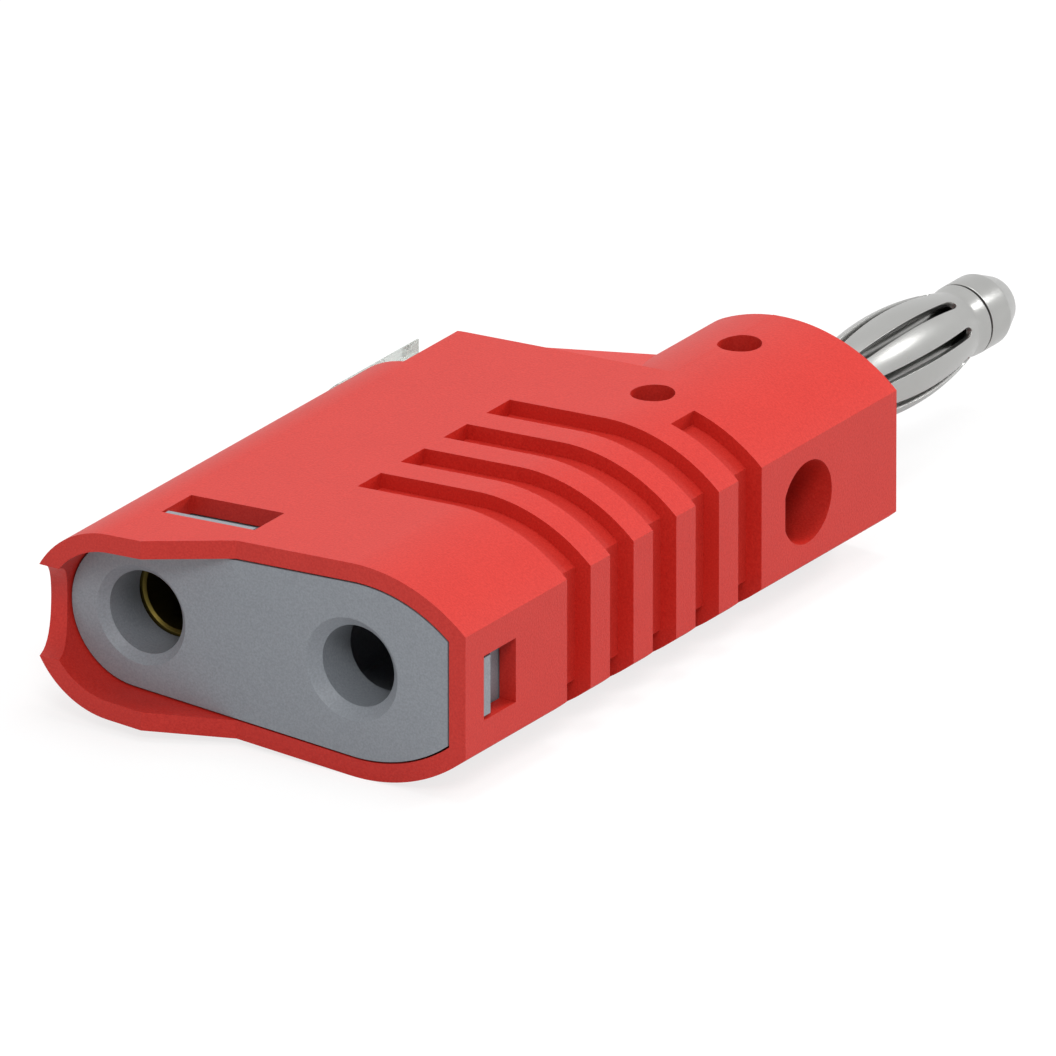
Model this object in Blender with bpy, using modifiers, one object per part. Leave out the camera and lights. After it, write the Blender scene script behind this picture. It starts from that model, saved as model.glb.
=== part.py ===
"""Banana plug, 4 mm, with a socket and a conductor entry side by side in a flat moulded housing.

Every piece is modelled in the plug's own frame: X across the plug, Y along the pin towards its tip with 0 at
the end face of the nose, Z up with 0 on the pin's axis. One empty carries that frame to the model's origin,
the middle of the plug's bounding box at its lowest level.
"""

import math

import bmesh
import bpy
import mathutils

MM = 0.001

# Housing: the section across the plug. Both ends are arcs joined by their common tangents.
SOCKET_SPACING = 13.16 * MM
CROWN_RADIUS = 9.9 * MM
CROWN_HALF = 5.97 * MM
CROWN_X = 0.45 * MM
SIDE_X = 7.08 * MM
END_RADIUS = 5.2 * MM
END_OFFSET = 0.26 * MM
WALL = 1.02 * MM

# Housing: places along the plug, measured back from the end face of the nose. Reaches on the left side
# are measured from the centre of the round end.
RIM_Y = -40.35 * MM
COLLAR_REACH = 2.35 * MM
COLLAR_WIDTH = 1.82 * MM
COLLAR_RAMP = 4.4 * MM
SCALLOP_RADIUS = 2.63 * MM
SCALLOP_DEPTH = 2.07 * MM
SHOULDER_Y = -9.45 * MM
GUSSET_OFFSET = 4.37 * MM
GUSSET_SLOPE = 0.89
GUSSET_TOP = 5.4 * MM
GUSSET_FALL = 0.187
NOSE_LEFT_X = -6.18 * MM
NOSE_ROUND = 4.3 * MM
NOTCH_REACH = 0.9 * MM
NOTCH_WIDTH = 0.76 * MM

# Grip grooves over the top, the right side and the underside.
GROOVE_COUNT = 5
GROOVE_PITCH = 4.0 * MM
GROOVE_WIDTH = 2.2 * MM
GROOVE_DEPTH = 0.66 * MM
GROOVE_FIRST_Y = -29.83 * MM
GROOVE_LEFT_X = -6.0 * MM
SHORT_GROOVE_LEFT_X = 2.85 * MM

# Snap windows.
WINDOW_Y = -38.65 * MM
WINDOW_LENGTH = 2.75 * MM
WINDOW_OFFSET = 0.39 * MM
WINDOW_WIDTH = 5.83 * MM
SIDE_WINDOW_LENGTH = 2.97 * MM
SIDE_WINDOW_HEIGHT = 3.6 * MM

# Holes in the nose.
CROSS_Y = -8.4 * MM
CROSS_RADIUS = 2.29 * MM
CROSS_FLAT = 2.1 * MM
CORE_HOLE_RADIUS = 1.18 * MM
CORE_HOLE_X = 0.1 * MM
CORE_HOLE_SPACING = 8.18 * MM

# Socket carrier.
SEAM = 0.1 * MM
CARRIER_LENGTH = 11.0 * MM
PLATE = 3.2 * MM
SOCKET_MOUTH_RADIUS = 2.29 * MM
SOCKET_FUNNEL = 0.48 * MM
ENTRY_MOUTH_RADIUS = 2.24 * MM
ENTRY_FUNNEL = 0.62 * MM
LATCH_INSET = 0.08 * MM
LATCH_GAP = 0.17 * MM
LATCH_FLAT = 0.38 * MM
SIDE_LATCH_FLAT = 0.63 * MM
POCKET_WALL = 2.0 * MM
CHAMBER_HALF_WIDTH = 4.3 * MM
CHAMBER_HALF_HEIGHT = 3.7 * MM
CORING_WIDTH = 2.6 * MM
CORING_HALF_HEIGHT = 3.2 * MM

# Metal parts.
CLEARANCE = 0.3 * MM
SOCKET_BORE_RADIUS = 2.04 * MM
SOCKET_WALL = 0.56 * MM
SOCKET_BORE_DEPTH = 14.0 * MM
TAIL_RADIUS = 1.0 * MM
BAR_THICKNESS = 0.8 * MM
BAR_GAP = 2.2 * MM
BAR_HALF_HEIGHT = 2.3 * MM
BAR_MARGIN = 2.4 * MM
BLOCK_HALF_WIDTH = 3.2 * MM
BLOCK_HALF_HEIGHT = 3.5 * MM
BLOCK_FRONT_Y = -3.0 * MM
BLOCK_LENGTH = 12.4 * MM
BLOCK_BORE_RADIUS = 2.05 * MM
PIN_RADIUS = 1.3 * MM
PIN_GRIP = 3.0 * MM
SEAM_Y = 16.95 * MM
PIN_TIP_Y = 20.02 * MM
HEAD_RADIUS = 2.0 * MM
HEAD_CYLINDER = 1.75 * MM
TIP_RADIUS = 1.46 * MM
SLEEVE_WALL = 0.35 * MM
SLEEVE_SEAM = 0.06 * MM
SLEEVE_NECK_RADIUS = 1.86 * MM
SLEEVE_BULGE_RADIUS = 2.66 * MM
SLEEVE_MIDDLE_Y = 10.2 * MM
SLEEVE_ARCH = 11.2 * MM
SLEEVE_FLARE = 1.1 * MM
SLOT_COUNT = 8
SLOT_WIDTH = 0.55 * MM
SLOT_LENGTH = 9.2 * MM
SLOT_TURN = math.radians(17.0)

# Clamp spring: one strip bent to a loop in the plane of the pin's axis.
SPRING_THICKNESS = 0.45 * MM
SPRING_WIDTH = 4.6 * MM
SPRING_LEG = 7.5 * MM
SPRING_LOOP_RADIUS = 2.4 * MM
SPRING_TIP_DROP = 1.9 * MM

# Clear marker window in the notch on the left side.
MARKER_WALL = 1.0 * MM
MARKER_PROUD = 0.07 * MM
MARKER_HALF_HEIGHT = 4.22 * MM
MARKER_OFFSET = 0.98 * MM
MARKER_SEAT = 2.6 * MM
MARKER_SETBACK = 0.18 * MM
MARKER_LIP = 1.55 * MM
MARKER_LIP_OFFSET = 3.08 * MM

# Facets.
CROWN_STEPS = 24
END_STEPS = 48
TURN_STEPS = 48
SMOOTH_ANGLE = math.radians(25)
OVERRUN = 1.0 * MM

# Places worked out from the sizes above.
CROWN_CENTRE = CROWN_RADIUS - CROWN_HALF
SOCKET_X = -SOCKET_SPACING
END_X = SOCKET_X - END_OFFSET
COLLAR_X = END_X + COLLAR_WIDTH
GUSSET_X = END_X + GUSSET_OFFSET
NOTCH_X = END_X - NOTCH_WIDTH
WINDOW_LEFT_X = END_X + WINDOW_OFFSET
MARKER_RIGHT_X = END_X - MARKER_OFFSET
MARKER_LIP_X = END_X - MARKER_LIP_OFFSET
BLOCK_BACK_Y = BLOCK_FRONT_Y - BLOCK_LENGTH
NOTCH_Y = BLOCK_BACK_Y + NOTCH_REACH
POCKET_Y = NOTCH_Y - WALL
BAR_Y = BLOCK_BACK_Y - BAR_GAP - BAR_THICKNESS
COLLAR_Y = RIM_Y - COLLAR_REACH
LEFT_X = END_X - END_RADIUS - MARKER_PROUD
PLUG_WIDTH = SIDE_X - LEFT_X
PLUG_LENGTH = PIN_TIP_Y - COLLAR_Y
AXIS_PLACE = (PLUG_WIDTH / 2 - SIDE_X, PLUG_LENGTH / 2 - PIN_TIP_Y, CROWN_HALF)
CARRIER_FRONT_Y = RIM_Y
CARRIER_BACK_Y = CARRIER_FRONT_Y + CARRIER_LENGTH
SOCKET_OUTER_RADIUS = SOCKET_BORE_RADIUS + SOCKET_WALL
SLEEVE_BACK_Y = BLOCK_FRONT_Y + CLEARANCE
SOCKET_FRONT_Y = CARRIER_FRONT_Y + PLATE


def clear_scene():
    """Removes what the scene starts with."""
    for obj in list(bpy.data.objects):
        bpy.data.objects.remove(obj, do_unlink=True)


def make_collection(name, helper=False):
    """A collection in the scene. Helpers are cutters, left out of renders."""
    made = bpy.data.collections.new(name)
    made.hide_render = helper
    bpy.context.scene.collection.children.link(made)
    return made


def make_axis():
    """The empty on the pin's axis at the end face of the nose, which carries every piece."""
    axis = bpy.data.objects.new("plug_axis", None)
    axis.location = AXIS_PLACE
    PIECES.objects.link(axis)
    return axis


def finish(obj, colour, roughness, metallic=0.0, transmission=0.0):
    """Gives a piece its own material and smooth shading between its sharp edges."""
    material = bpy.data.materials.new(obj.name)
    material.use_nodes = True
    shader = material.node_tree.nodes["Principled BSDF"]
    shader.inputs["Base Color"].default_value = (*colour, 1.0)
    shader.inputs["Roughness"].default_value = roughness
    shader.inputs["Metallic"].default_value = metallic
    shader.inputs["Transmission Weight"].default_value = transmission
    obj.data.materials.clear()
    obj.data.materials.append(material)
    obj.data.shade_smooth()
    obj.data.set_sharp_from_angle(angle=SMOOTH_ANGLE)
    return obj


def add_mesh(name, mesh, group):
    """A mesh object in the plug's frame. In the cutters' collection it is drawn as wires."""
    obj = bpy.data.objects.new(name, mesh)
    group.objects.link(obj)
    obj.parent = AXIS
    if group is CUTTERS:
        obj.hide_render = True
        obj.display_type = "WIRE"
    return obj


def prism(name, outline, low, high, along, group):
    """A closed outline, drawn as a flat curve and extruded from low to high along X, Y or Z.

    The outline's two numbers are (y, z), (x, z) or (x, y) for those three directions.
    """
    curve = bpy.data.curves.new(name, "CURVE")
    curve.dimensions = "2D"
    curve.fill_mode = "BOTH"
    curve.extrude = (high - low) / 2
    spline = curve.splines.new("POLY")
    spline.points.add(len(outline) - 1)
    for point, (u, v) in zip(spline.points, outline):
        point.co = (u, v, 0, 1)
    spline.use_cyclic_u = True
    drawn = bpy.data.objects.new(name + "_outline", curve)
    PIECES.objects.link(drawn)
    bpy.context.view_layer.update()
    evaluated = drawn.evaluated_get(bpy.context.evaluated_depsgraph_get())
    mesh = bpy.data.meshes.new_from_object(evaluated)
    bpy.data.objects.remove(drawn, do_unlink=True)
    work = bmesh.new()
    work.from_mesh(mesh)
    bmesh.ops.remove_doubles(work, verts=work.verts, dist=1e-7)
    bmesh.ops.recalc_face_normals(work, faces=work.faces)
    work.to_mesh(mesh)
    work.free()
    mesh.name = name
    obj = add_mesh(name, mesh, group)
    middle = (low + high) / 2
    turn, place = {
        "X": ((math.pi / 2, 0, math.pi / 2), (middle, 0, 0)),
        "Y": ((math.pi / 2, 0, 0), (0, middle, 0)),
        "Z": ((0, 0, 0), (0, 0, middle)),
    }[along]
    obj.rotation_euler = turn
    obj.location = place
    return obj


def turned(name, profile, group, place=(0, 0, 0), closed=False, along="Y", steps=TURN_STEPS):
    """A turned piece. The profile lists (radius, height) down its outer side, height along the axis."""
    mesh = bpy.data.meshes.new(name)
    edges = [(i, i + 1) for i in range(len(profile) - 1)]
    if closed:
        edges.append((len(profile) - 1, 0))
    mesh.from_pydata([(radius, 0, height) for radius, height in profile], edges, [])
    obj = add_mesh(name, mesh, group)
    screw = obj.modifiers.new("Turn", "SCREW")
    screw.steps = steps
    screw.render_steps = steps
    screw.use_merge_vertices = True
    screw.merge_threshold = 1e-6
    screw.use_smooth_shade = True
    obj.location = place
    obj.rotation_euler = {"X": (0, math.pi / 2, 0), "Y": (-math.pi / 2, 0, 0), "Z": (0, 0, 0)}[along]
    return obj


def cylinder(name, radius, low, high, along, place):
    """A cutter for a round hole from low to high along one axis through a place."""
    profile = [(0, high), (radius, high), (radius, low), (0, low)]
    return turned(name, profile, CUTTERS, place, along=along)


def box(name, x, y, z, group):
    """A box between pairs of limits along X, Y and Z."""
    outline = [(x[0], y[0]), (x[1], y[0]), (x[1], y[1]), (x[0], y[1])]
    return prism(name, outline, z[0], z[1], "Z", group)


def boolean(obj, other, operation="DIFFERENCE"):
    """Adds an exact Boolean of one piece with another."""
    modifier = obj.modifiers.new(other.name, "BOOLEAN")
    modifier.operation = operation
    modifier.solver = "EXACT"
    modifier.object = other


def taper_angle():
    """Slope of the common tangent of the crown arc and the round end."""
    across = CROWN_X - END_X
    reach = math.hypot(across, CROWN_CENTRE)
    return math.asin((CROWN_RADIUS - END_RADIUS) / reach) - math.atan2(CROWN_CENTRE, across)


def arc(centre, radius, start, end, steps):
    """Points of an arc. Angles are measured from straight up, positive to the right."""
    angles = [start + (end - start) * i / steps for i in range(steps + 1)]
    return [(centre[0] + radius * math.sin(a), centre[1] + radius * math.cos(a)) for a in angles]


def taper_height(x):
    """Height of the tapered part of the top above the pin's axis."""
    slope = taper_angle()
    return (END_RADIUS + (x - END_X) * math.sin(slope)) / math.cos(slope)


def crown_angle(x, inset=0.0):
    """Where the crown arc, moved in by inset, meets the plane X = x."""
    return math.asin((x - CROWN_X) / (CROWN_RADIUS - inset))


def section(inset=0.0):
    """The housing's outline across the plug, moved in by inset all round."""
    slope = taper_angle()
    corner = crown_angle(SIDE_X - inset, inset)
    top = arc((CROWN_X, -CROWN_CENTRE), CROWN_RADIUS - inset, corner, -slope, CROWN_STEPS)
    end = arc((END_X, 0), END_RADIUS - inset, -slope, slope - math.pi, END_STEPS)
    return top + end + [(x, -z) for x, z in reversed(top)]


def nose_section(inset=0.0):
    """The nose's outline: the crown, the flat right side and a left side rounded into the crown."""
    crown = CROWN_RADIUS - inset
    corner = crown_angle(SIDE_X - inset, inset)
    fillet = NOSE_ROUND - inset
    fillet_x = NOSE_LEFT_X + NOSE_ROUND
    join = math.asin((fillet_x - CROWN_X) / (crown - fillet))
    fillet_z = (crown - fillet) * math.cos(join) - CROWN_CENTRE
    top = arc((CROWN_X, -CROWN_CENTRE), crown, corner, join, CROWN_STEPS)
    top += arc((fillet_x, fillet_z), fillet, join, -math.pi / 2, CROWN_STEPS)[1:]
    return top + [(x, -z) for x, z in reversed(top)]


def gusset_keeper():
    """The web between shoulder and nose: slanted in plan, its top and underside falling to the nose."""
    start = SHOULDER_Y - OVERRUN
    end = SHOULDER_Y - GUSSET_X * GUSSET_SLOPE
    high = GUSSET_TOP + GUSSET_FALL * OVERRUN
    low = GUSSET_TOP - GUSSET_FALL * (end - SHOULDER_Y)
    side = [(start, -high), (end, -low), (end, low), (start, high)]
    keeper = prism("gusset_keeper", side, GUSSET_X, 0, "X", CUTTERS)
    plan = [(GUSSET_X, start), (0, start), (0, end), (GUSSET_X, SHOULDER_Y)]
    height = CROWN_HALF + OVERRUN
    boolean(keeper, prism("gusset_plan", plan, -height, height, "Z", CUTTERS), "INTERSECT")
    return keeper


def shoulder_cutter():
    """What lies before the shoulder and outside the notch, less the nose and its gusset."""
    crown_x = CROWN_X - CROWN_RADIUS * math.sin(2 * taper_angle())
    far_x = LEFT_X - OVERRUN
    plan = [
        (far_x, NOTCH_Y),
        (NOTCH_X, NOTCH_Y),
        (NOTCH_X, SHOULDER_Y),
        (crown_x, SHOULDER_Y),
        (crown_x, OVERRUN),
        (far_x, OVERRUN),
    ]
    height = CROWN_HALF + OVERRUN
    cutter = prism("shoulder_cutter", plan, -height, height, "Z", CUTTERS)
    nose = prism("nose_keeper", nose_section(), NOTCH_Y, 2 * OVERRUN, "Y", CUTTERS)
    boolean(cutter, nose)
    boolean(cutter, gusset_keeper())
    return cutter


def rim_cutter():
    """What lies before the rim, to the right of the collar, with the ramp between them."""
    ramp_end = COLLAR_X + COLLAR_RAMP
    front = COLLAR_Y - OVERRUN
    right = SIDE_X + OVERRUN
    plan = [
        (COLLAR_X - COLLAR_RAMP * OVERRUN / COLLAR_REACH, front),
        (right, front),
        (right, RIM_Y),
        (ramp_end, RIM_Y),
    ]
    height = CROWN_HALF + OVERRUN
    return prism("rim_cutter", plan, -height, height, "Z", CUTTERS)


def groove_cutters():
    """Bands round the top, the right side and the underside, down to the floor of the grooves."""
    made = []
    core = prism("groove_core", section(GROOVE_DEPTH), RIM_Y, 0, "Y", CUTTERS)
    height = CROWN_HALF + OVERRUN
    for i in range(GROOVE_COUNT):
        left = SHORT_GROOVE_LEFT_X if i == GROOVE_COUNT - 1 else GROOVE_LEFT_X
        middle = GROOVE_FIRST_Y + i * GROOVE_PITCH
        span = (middle - GROOVE_WIDTH / 2, middle + GROOVE_WIDTH / 2)
        band = box(f"groove_{i + 1}", (left, SIDE_X + OVERRUN), span, (-height, height), CUTTERS)
        boolean(band, core)
        made.append(band)
    return made


def cross_hole_cutter(radius, flat, right, name):
    """A round hole from the right side, with a flat towards the socket end."""
    half = math.acos(flat / radius)
    start = -math.pi / 2 + half
    outline = arc((CROSS_Y, 0), radius, start, start + 2 * math.pi - 2 * half, TURN_STEPS)
    return prism(name, outline, 0, right, "X", CUTTERS)


def make_housing():
    """The moulded shell: body, collar and nose in one piece."""
    body = prism("housing", section(), COLLAR_Y, 0, "Y", PIECES)
    boolean(body, shoulder_cutter())
    boolean(body, rim_cutter())
    scallop_y = COLLAR_Y - SCALLOP_RADIUS + SCALLOP_DEPTH
    scallop = cylinder("scallop", SCALLOP_RADIUS, LEFT_X - OVERRUN, END_X, "X", (0, scallop_y, 0))
    boolean(body, scallop)
    mouth = prism("mouth", section(WALL), COLLAR_Y - OVERRUN, CARRIER_BACK_Y + CLEARANCE, "Y", CUTTERS)
    boolean(body, mouth)
    pocket = prism("pocket", section(POCKET_WALL), CARRIER_BACK_Y, POCKET_Y, "Y", CUTTERS)
    boolean(body, pocket)
    for groove in groove_cutters():
        boolean(body, groove)
    height = CROWN_HALF + OVERRUN
    span = (WINDOW_Y, WINDOW_Y + WINDOW_LENGTH)
    sides = (WINDOW_LEFT_X, WINDOW_LEFT_X + WINDOW_WIDTH)
    boolean(body, box("windows", sides, span, (-height, height), CUTTERS))
    side_span = (WINDOW_Y, WINDOW_Y + SIDE_WINDOW_LENGTH)
    half = SIDE_WINDOW_HEIGHT / 2
    boolean(body, box("side_window", (0, SIDE_X + OVERRUN), side_span, (-half, half), CUTTERS))
    seat_width = BLOCK_HALF_WIDTH + CLEARANCE
    seat_height = BLOCK_HALF_HEIGHT + CLEARANCE
    seat_x = (-seat_width, seat_width)
    seat_y = (POCKET_Y - OVERRUN, BLOCK_FRONT_Y + CLEARANCE)
    seat_z = (-seat_height, seat_height)
    boolean(body, box("block_seat", seat_x, seat_y, seat_z, CUTTERS))
    pin_way = cylinder("pin_way", HEAD_RADIUS + CLEARANCE, BLOCK_FRONT_Y - OVERRUN, OVERRUN, "Y", (0, 0, 0))
    boolean(body, pin_way)
    boolean(body, cross_hole_cutter(CROSS_RADIUS, CROSS_FLAT, SIDE_X + OVERRUN, "cross_hole"))
    for i in (-0.5, 0.5):
        place = (CORE_HOLE_X, CROSS_Y + i * CORE_HOLE_SPACING, 0)
        boolean(body, cylinder(f"core_hole_{i + 0.5:.0f}", CORE_HOLE_RADIUS, -height, height, "Z", place))
    boolean(body, marker_seat())
    return finish(body, (0.72, 0.09, 0.07), 0.55)


def marker_outline(margin):
    """Section of the clear window: the round left side, cut off flat above and below, and hollow inside."""
    outer = END_RADIUS + MARKER_PROUD + (OVERRUN if margin else 0)
    top = MARKER_HALF_HEIGHT + margin
    inner = END_RADIUS + MARKER_PROUD - MARKER_WALL - margin
    inner_top = MARKER_HALF_HEIGHT - MARKER_WALL - margin
    turn = math.acos(top / outer)
    inner_turn = math.acos(inner_top / inner)
    out = arc((END_X, 0), outer, turn - math.pi, -turn, END_STEPS)
    back = arc((END_X, 0), inner, -inner_turn, inner_turn - math.pi, END_STEPS)
    upper = [(MARKER_RIGHT_X, top), (MARKER_RIGHT_X, inner_top)]
    lower = [(MARKER_RIGHT_X, -inner_top), (MARKER_RIGHT_X, -top)]
    return out + upper + back + lower


def marker_seat():
    """The recess in the housing's left side that takes the back end of the clear window."""
    start = NOTCH_Y - MARKER_SEAT - CLEARANCE / 2
    return prism("marker_seat", marker_outline(CLEARANCE / 2), start, NOTCH_Y + OVERRUN, "Y", CUTTERS)


def make_marker_window():
    """The clear moulded window that closes the notch and carries on the round left side."""
    front = SHOULDER_Y - MARKER_SETBACK
    window = prism("marker_window", marker_outline(0), NOTCH_Y - MARKER_SEAT, front, "Y", PIECES)
    span = (front - MARKER_LIP, front + OVERRUN)
    height = CROWN_HALF
    boolean(window, box("marker_lip", (MARKER_LIP_X, END_X + OVERRUN), span, (-height, height), CUTTERS))
    return finish(window, (0.8, 0.86, 0.82), 0.08, transmission=1.0)


def way_cutter(name, x, radius, depth, seat, seat_start):
    """A cutter for a round way through the carrier: a 45 degree funnel, a neck and a wider seat behind."""
    back = CARRIER_LENGTH + OVERRUN
    wide = radius + depth + OVERRUN
    profile = [
        (0, back),
        (seat, back),
        (seat, seat_start),
        (radius, seat_start),
        (radius, depth),
        (wide, -OVERRUN),
        (0, -OVERRUN),
    ]
    return turned(name, profile, CUTTERS, (x, CARRIER_FRONT_Y, 0))


def latch_profile(skin, rise, flat, sign):
    """A snap tooth seen from its end: square towards the socket end, with a 45 degree ramp behind."""
    start = WINDOW_Y + SEAM
    top = skin + rise
    root = skin - OVERRUN / 2
    ramp_end = start + flat + rise
    points = [(start, root), (start, top), (start + flat, top), (ramp_end, skin), (ramp_end, root)]
    return [(y, sign * reach) for y, reach in points]


def taper_latch(name, left, right, rise, sign):
    """A snap tooth on the tapered top or underside, leaned so that its top keeps level with the skin."""
    slope = taper_angle()
    middle = (left + right) / 2
    skin = taper_height(middle) - WALL - SEAM
    half = (right - left) / 2
    tooth = prism(name, latch_profile(skin, rise, LATCH_FLAT, sign), -half, half, "X", CUTTERS)
    tooth.location = (middle, 0, 0)
    lean = mathutils.Matrix.Rotation(-sign * slope, 4, "Y")
    about = mathutils.Matrix.Translation((middle, 0, sign * skin))
    tooth.matrix_basis = about @ lean @ about.inverted() @ tooth.matrix_basis
    return tooth


def make_socket_carrier():
    """The grey insert: a thick front with two funnels, and a sleeve behind it that carries the latches."""
    inset = WALL + SEAM
    body = prism("socket_carrier", section(inset), CARRIER_FRONT_Y, CARRIER_BACK_Y, "Y", PIECES)
    rise = inset - LATCH_INSET
    half = SIDE_WINDOW_HEIGHT / 2 - LATCH_GAP
    side = [(x, y) for y, x in latch_profile(SIDE_X - inset, rise, SIDE_LATCH_FLAT, 1)]
    boolean(body, prism("side_latch", side, -half, half, "Z", CUTTERS), "UNION")
    left = WINDOW_LEFT_X + LATCH_GAP
    right = left + WINDOW_WIDTH - 2 * LATCH_GAP
    for sign, word in ((1, "top"), (-1, "bottom")):
        boolean(body, taper_latch(f"{word}_latch", left, right, rise, sign), "UNION")
    seat = SOCKET_OUTER_RADIUS + SEAM
    boolean(body, way_cutter("socket_way", SOCKET_X, SOCKET_MOUTH_RADIUS, SOCKET_FUNNEL, seat, PLATE))
    room = CHAMBER_HALF_HEIGHT - SEAM
    boolean(body, way_cutter("entry_way", 0, ENTRY_MOUTH_RADIUS, ENTRY_FUNNEL, room, PLATE))
    behind = (CARRIER_FRONT_Y + PLATE + CLEARANCE, CARRIER_BACK_Y + OVERRUN)
    chamber = box(
        "clamp_chamber",
        (-CHAMBER_HALF_WIDTH, CHAMBER_HALF_WIDTH),
        behind,
        (-CHAMBER_HALF_HEIGHT, CHAMBER_HALF_HEIGHT),
        CUTTERS,
    )
    boolean(body, chamber)
    coring_x = (SOCKET_X + seat - CHAMBER_HALF_WIDTH) / 2
    coring = box(
        "coring",
        (coring_x - CORING_WIDTH / 2, coring_x + CORING_WIDTH / 2),
        behind,
        (-CORING_HALF_HEIGHT, CORING_HALF_HEIGHT),
        CUTTERS,
    )
    boolean(body, coring)
    return finish(body, (0.24, 0.26, 0.28), 0.5)


def make_socket_sleeve():
    """The turned 4 mm socket, blind at the back, with a tail that is riveted through the bar."""
    back = SOCKET_FRONT_Y + CLEARANCE / 2 + SOCKET_BORE_DEPTH
    front = SOCKET_FRONT_Y + CLEARANCE / 2
    shoulder = BAR_Y - CLEARANCE / 2
    lead = 0.1 * MM
    tail_end = BAR_Y + BAR_THICKNESS + 2 * CLEARANCE
    profile = [
        (0, tail_end),
        (TAIL_RADIUS, tail_end),
        (TAIL_RADIUS, shoulder),
        (SOCKET_OUTER_RADIUS, shoulder),
        (SOCKET_OUTER_RADIUS, front + lead),
        (SOCKET_OUTER_RADIUS - lead, front),
        (SOCKET_BORE_RADIUS + lead, front),
        (SOCKET_BORE_RADIUS, front + lead),
        (SOCKET_BORE_RADIUS, back - SOCKET_BORE_RADIUS / 2),
        (0, back),
    ]
    sleeve = turned("socket_sleeve", profile, PIECES, (SOCKET_X, 0, 0))
    return finish(sleeve, (0.55, 0.4, 0.12), 0.35, metallic=1.0)


def make_contact_block():
    """The block in the nose that takes the pin, with the cross bore, and a tail through the bar."""
    width = (-BLOCK_HALF_WIDTH, BLOCK_HALF_WIDTH)
    height = (-BLOCK_HALF_HEIGHT, BLOCK_HALF_HEIGHT)
    block = box("contact_block", width, (BLOCK_BACK_Y, BLOCK_FRONT_Y), height, PIECES)
    tail_end = BAR_Y - 2 * CLEARANCE
    tail = cylinder("block_tail", TAIL_RADIUS, tail_end, BLOCK_BACK_Y + OVERRUN, "Y", (0, 0, 0))
    boolean(block, tail, "UNION")
    across = BLOCK_HALF_WIDTH + OVERRUN
    boolean(block, cylinder("cross_bore", BLOCK_BORE_RADIUS, -across, across, "X", (0, CROSS_Y, 0)))
    hole = PIN_RADIUS + CLEARANCE / 2
    start = BLOCK_FRONT_Y - PIN_GRIP - CLEARANCE / 2
    boolean(block, cylinder("pin_hole", hole, start, BLOCK_FRONT_Y + OVERRUN, "Y", (0, 0, 0)))
    return finish(block, (0.62, 0.6, 0.56), 0.3, metallic=1.0)


def make_current_bar():
    """The flat bar between the socket sleeve and the contact block, with a hole for each tail."""
    outline = [
        (SOCKET_X - BAR_MARGIN, -BAR_HALF_HEIGHT),
        (BAR_MARGIN, -BAR_HALF_HEIGHT),
        (BAR_MARGIN, BAR_HALF_HEIGHT),
        (SOCKET_X - BAR_MARGIN, BAR_HALF_HEIGHT),
    ]
    bar = prism("current_bar", outline, BAR_Y, BAR_Y + BAR_THICKNESS, "Y", PIECES)
    for word, x in (("socket", SOCKET_X), ("block", 0)):
        low = BAR_Y - OVERRUN
        high = BAR_Y + BAR_THICKNESS + OVERRUN
        radius = TAIL_RADIUS + CLEARANCE / 2
        boolean(bar, cylinder(f"{word}_tail_hole", radius, low, high, "Y", (x, 0, 0)))
    return finish(bar, (0.6, 0.3, 0.16), 0.35, metallic=1.0)


def make_cage_clamp():
    """The clamp spring: a leg along the bottom, a loop at the socket end and a tip that presses down."""
    base = -SPRING_LOOP_RADIUS
    back = BAR_Y - CLEARANCE - SPRING_THICKNESS
    front = back - SPRING_LEG
    loop = arc((front, 0), SPRING_LOOP_RADIUS, math.pi, 2 * math.pi, END_STEPS // 2)
    path = [(back, base)] + loop
    path.append((back - SPRING_TIP_DROP, SPRING_LOOP_RADIUS))
    path.append((back - SPRING_THICKNESS, SPRING_LOOP_RADIUS - SPRING_TIP_DROP))
    mesh = bpy.data.meshes.new("cage_clamp")
    half = SPRING_WIDTH / 2
    verts = [(x, y, z) for y, z in path for x in (-half, half)]
    faces = [(2 * i, 2 * i + 1, 2 * i + 3, 2 * i + 2) for i in range(len(path) - 1)]
    mesh.from_pydata(verts, [], faces)
    spring = add_mesh("cage_clamp", mesh, PIECES)
    wall = spring.modifiers.new("Strip", "SOLIDIFY")
    wall.thickness = SPRING_THICKNESS
    wall.offset = 0
    wall.use_even_offset = True
    return finish(spring, (0.5, 0.5, 0.5), 0.3, metallic=1.0)


def make_plug_pin():
    """The turned pin: a long core with the chamfered head at the tip."""
    edge = 0.15 * MM
    lead = 0.4 * MM
    back = BLOCK_FRONT_Y - PIN_GRIP
    cylinder_end = SEAM_Y + HEAD_CYLINDER
    profile = [
        (0, PIN_TIP_Y),
        (TIP_RADIUS - edge, PIN_TIP_Y),
        (TIP_RADIUS, PIN_TIP_Y - edge),
        (HEAD_RADIUS - edge / 2, cylinder_end + edge / 2),
        (HEAD_RADIUS, cylinder_end - edge),
        (HEAD_RADIUS, SEAM_Y),
        (PIN_RADIUS, SEAM_Y),
        (PIN_RADIUS, back + lead),
        (PIN_RADIUS - lead, back),
        (0, back),
    ]
    pin = turned("plug_pin", profile, PIECES)
    return finish(pin, (0.8, 0.8, 0.8), 0.12, metallic=1.0)


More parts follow.
